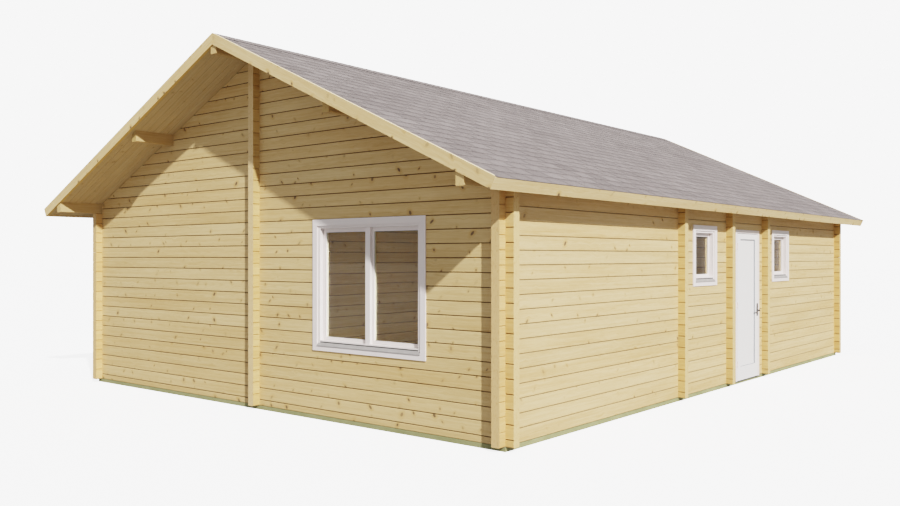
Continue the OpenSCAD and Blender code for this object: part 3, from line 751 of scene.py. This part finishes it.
# each sash holds two thin panes with a spacer between them; a dark rubber seal fills the gap over each sill, as painted
# shade for the shadow in that gap
for label, spots in (("front", ((at_front, 0.699, 0.740, ((-0.655, -0.0575), (0.0575, 0.655))),)),
                     ("side", ((at_side(-0.605), 0.263, 1.372, ((-0.219, 0.219),)),
                               (at_side(2.190), 0.263, 1.372, ((-0.219, 0.219),))))):
    panes, spacers, rims, shade_seals = Soup(), Soup(), Soup(), Soup()
    for at, field, z0, fields in spots:
        for ua, ub in fields:
            for d0, d1 in ((0.0620, 0.0660), (0.0780, 0.0820)):
                brick(panes, at, ua + 0.0006, ub - 0.0006, d0, d1, z0 + 0.1486, 2.0004)
            for u0, u1 in ((ua + 0.0006, ua + 0.0050), (ub - 0.0050, ub - 0.0006)):
                brick(spacers, at, u0, u1, 0.0661, 0.0779, z0 + 0.1486, 2.0004)
                if label == "side":
                    brick(spacers, at, u0, u1, 0.0822, 0.0895, z0 + 0.1486, 2.0004)
            for v0, v1 in ((z0 + 0.1486, z0 + 0.1516), (1.9974, 2.0004)):
                brick(rims, at, ua + 0.0052, ub - 0.0052, 0.0661, 0.0779, v0, v1)
        brick(shade_seals, at, -field + 0.001, field - 0.001, 0.0023, 0.0157, z0 + 0.0893, z0 + 0.0983)
    panes.build(label + "_window_panes", glass_mats[label], "root", "glass", (label + "_window_glass",))
    spacers.build(label + "_window_spacers", spacer_mats[label], "root", "white_paint")
    rims.build(label + "_window_rims", rim_mat, "root", "seal")
    shade_seals.build(label + "_window_shade_seals", seal_and_shade_mat, "root", "seal")

at_door = at_side(0.870)

# a grey gasket lies round the door's sunk panel, with a narrow lip at its foot; it also stands in as painted shade for
# the shade lines in the panel's recess
gasket_and_shade = Soup()
for u0, u1, v0, v1 in ((-0.2747, -0.2660, 0.2253, 1.9847), (0.2660, 0.2747, 0.2253, 1.9847), (-0.2658, 0.2658, 1.9757, 1.9847),
                       (-0.2658, 0.2658, 0.2253, 0.2283)):
    brick(gasket_and_shade, at_door, u0, u1, 0.0040, 0.0138, v0, v1)
gasket_and_shade.build("door_panel_gasket_and_shade", gasket_and_shade_mat, "door", "seal")

# long rounded plates with a key hole, and a lever bent from one bar on each side
LU, LV = 0.355, 0.975
plates, slots, levers = Soup(), Soup(), Soup()
for side in (1, -1):
    def at(u, d, v, side=side):
        """Depth counted from the face of the leaf outwards, on the outer or the inner side."""
        return at_door(u, -d if side > 0 else 0.044 + d, v)

    outline = []
    for i in range(24):
        t = 2 * math.pi * (i + 0.5) / 24
        outline.append((0.0255 * math.cos(t), (0.0800 if math.sin(t) > 0 else -0.0560) + 0.0255 * math.sin(t)))
    rings = []
    for d, k in ((0.0003, 0.0), (0.0040, 0.0), (0.0052, 0.0012)):
        rings.append([at(LU + u - math.copysign(k, u), d, LV + v - math.copysign(k, v)) for u, v in outline])
    n = len(outline)
    faces = [(i * n + j, i * n + (j + 1) % n, (i + 1) * n + (j + 1) % n, (i + 1) * n + j) for i in range(2) for j in range(n)]
    faces += [tuple(reversed(range(n))), tuple(range(2 * n, 3 * n))]
    pts = [q for ring in rings for q in ring]
    plates.add(pts, faces, [(0.0, 0.0, 0.0)] * len(pts), (0.5, 0.5, 0.5))
    tube(plates, at, [(LU, 0.0053, LV, 0.0135, 0.0135), (LU, 0.0080, LV, 0.0135, 0.0135), (LU, 0.0090, LV, 0.0120, 0.0120)], 24)
    tube(plates, at, [(LU, 0.0053, LV - 0.052, 0.0085, 0.0085), (LU, 0.0075, LV - 0.052, 0.0085, 0.0085)], 24)
    brick(slots, at, LU - 0.0012, LU + 0.0012, 0.0076, 0.0079, LV - 0.058, LV - 0.046)
    bend = [(LU - 0.016 * (1 - math.cos(t)), 0.030 + 0.014 * math.sin(t), LV, 0.0085 - 0.0015 * t / 1.571, 0.0088)
            for t in (math.pi / 2 * j / 6 for j in range(7))]
    grip = [(LU - 0.016 - 0.088 * j / 6, 0.044, LV, 0.0070, 0.0088 + 0.0012 * math.sin(math.pi * j / 6)) for j in range(1, 7)]
    tip = [(LU - 0.104 - 0.020 * math.sin(t), 0.044 - 0.008 * (1 - math.cos(t)), LV, 0.0070, 0.0088)
           for t in (math.pi / 2 * j / 5 for j in range(1, 5))]
    last = (tip[-1][0] - 0.0015, tip[-1][1] - 0.002, LV, 0.0045, 0.0062)
    tube(levers, at, [(LU, 0.0095, LV, 0.0085, 0.0085)] + bend + grip + tip + [last], 20)
tube(levers, at_door, [(LU, -0.010, LV, 0.0045, 0.0045), (LU, 0.054, LV, 0.0045, 0.0045)], 12)
plates.build("handle_plates_rounded", plate_mat, "door", "handle_metal", ("handle_plates",), smooth=True)
slots.build("key_slots", seal_and_shade_mat, "door", "seal")
levers.build("door_lever_bent", lever_mat, "lever", "handle_metal", ("door_lever",), smooth=True)


# ---------------------------------------------------------------- stage, light, camera
def stage_piece(name, verts, faces, mat, camera_only=False, mirror_only=False):
    me = bpy.data.meshes.new(name)
    me.from_pydata(verts, [], faces)
    me.materials.append(mat)
    o = bpy.data.objects.new(name, me)
    scene.collection.objects.link(o)
    o.visible_camera = camera_only
    if camera_only or mirror_only:
        o.visible_diffuse = o.visible_transmission = o.visible_shadow = False
        o.visible_glossy = mirror_only
    return o


def floor_stage():
    """A pale floor that is seen, over a greyer one that throws less light back up at the eaves."""
    k = 140.0
    for name, tone, glow, z, seen in (("stage_floor", 0.88, 1.9, -0.001, True), ("stage_bounce", 0.29, 0.0, -0.004, False)):
        m = Mat(name)
        n = m.noise(m.obj(), 0.35, 3.0)
        mat = m.surface(m.mix(n, (tone * 0.98,) * 3, (tone * 1.02,) * 3), rough=0.9, spec=0.1)
        shader = next(x for x in mat.node_tree.nodes if x.type == "BSDF_PRINCIPLED")
        shader.inputs["Emission Color"].default_value = (1.0, 1.0, 1.0, 1.0)
        shader.inputs["Emission Strength"].default_value = glow
        stage_piece(name, [(-k, -k, z), (k, -k, z), (k, k, z), (-k, k, z)], [(0, 1, 2, 3)], mat, camera_only=seen)


def plain(name, strength):
    m = bpy.data.materials.new(name)
    m.use_nodes = True
    t = m.node_tree
    t.nodes.clear()
    e = t.nodes.new("ShaderNodeEmission")
    e.inputs[0].default_value = (1.0, 1.0, 1.0, 1.0)
    e.inputs[1].default_value = strength
    out = t.nodes.new("ShaderNodeOutputMaterial")
    t.links.new(e.outputs[0], out.inputs[0])
    return m


def backdrop():
    """A plain white drum round the stage. The front panes mirror a dark card far off and a pale stretch of ground before it."""
    n, r, h = 64, 120.0, 130.0
    ring = [(r * math.cos(2 * math.pi * i / n), r * math.sin(2 * math.pi * i / n)) for i in range(n)]
    verts = [(x, y, -0.01) for x, y in ring] + [(x, y, h) for x, y in ring]
    faces = [(i, (i + 1) % n, n + (i + 1) % n, n + i) for i in range(n)] + [tuple(range(n, 2 * n))]
    stage_piece("stage_backdrop", verts, faces, plain("stage_backdrop", 3.2), camera_only=True)
    stage_piece("stage_card", [(-60.0, -50.0, 1.17), (-26.0, -50.0, 1.17), (-26.0, -50.0, 7.0), (-60.0, -50.0, 7.0)], [(0, 1, 2, 3)],
                plain("stage_card", 0.0), mirror_only=True)
    stage_piece("stage_gleam", [(-7.4, -12.4, 0.002), (-6.3, -15.2, 0.002), (-26.0, -50.0, 0.002), (-60.0, -50.0, 0.002),
                                (-26.0, -50.0, 1.17), (-60.0, -50.0, 1.17)], [(0, 1, 2, 3), (3, 2, 4, 5)],
                plain("stage_gleam", 0.75), mirror_only=True)


floor_stage()
backdrop()
world = bpy.data.worlds.new("studio")
scene.world = world
world.use_nodes = True
bg = world.node_tree.nodes["Background"]
bg.inputs[0].default_value = (0.98, 1.0, 1.05, 1.0)
bg.inputs[1].default_value = 0.5

sun = bpy.data.lights.new("key", "SUN")
sun.energy = 5.1
sun.angle = math.radians(1.2)
so = bpy.data.objects.new("key", sun)
so.rotation_mode = "QUATERNION"
so.rotation_quaternion = Vector((-2.0, 1.0, -1.5)).to_track_quat("-Z", "Y")
scene.collection.objects.link(so)

# soft light inside the rooms, so that the panes show the walls behind them
for name, place, power, tint in (("room_front", (2.4, -3.0, 1.10), 23.5, (0.92, 0.98, 1.12)),
                                 ("room_wash", (2.3, -0.75, 1.2), 7.5, (1.00, 0.93, 0.82)),
                                 ("room_hall", (1.8, 0.80, 1.5), 8.0, (0.97, 0.97, 1.00)),
                                 ("room_back", (1.9, 3.1, 1.2), 26.0, (1.00, 0.93, 0.82)),
                                 ("room_left", (-1.8, 0.0, 1.2), 30.0, (0.97, 0.97, 1.00))):
    lamp = bpy.data.lights.new(name, "POINT")
    lamp.energy = power
    lamp.color = tint
    lamp.shadow_soft_size = 0.4
    lo = bpy.data.objects.new(name, lamp)
    lo.location = place
    lo.visible_camera = lo.visible_glossy = lo.visible_transmission = False
    scene.collection.objects.link(lo)

cam = bpy.data.cameras.new("camera")
cam.sensor_width = 36.0
cam.lens = 34.956
cam.shift_y = 0.00428
cam.clip_end = 500.0
co = bpy.data.objects.new("camera", cam)
co.location = (8.064, -11.2675, 1.7409)
co.rotation_euler = (math.radians(90.0), 0.0, math.radians(39.4276))
scene.collection.objects.link(co)
scene.camera = co

scene.view_settings.view_transform = "Filmic"
scene.view_settings.look = "High Contrast"
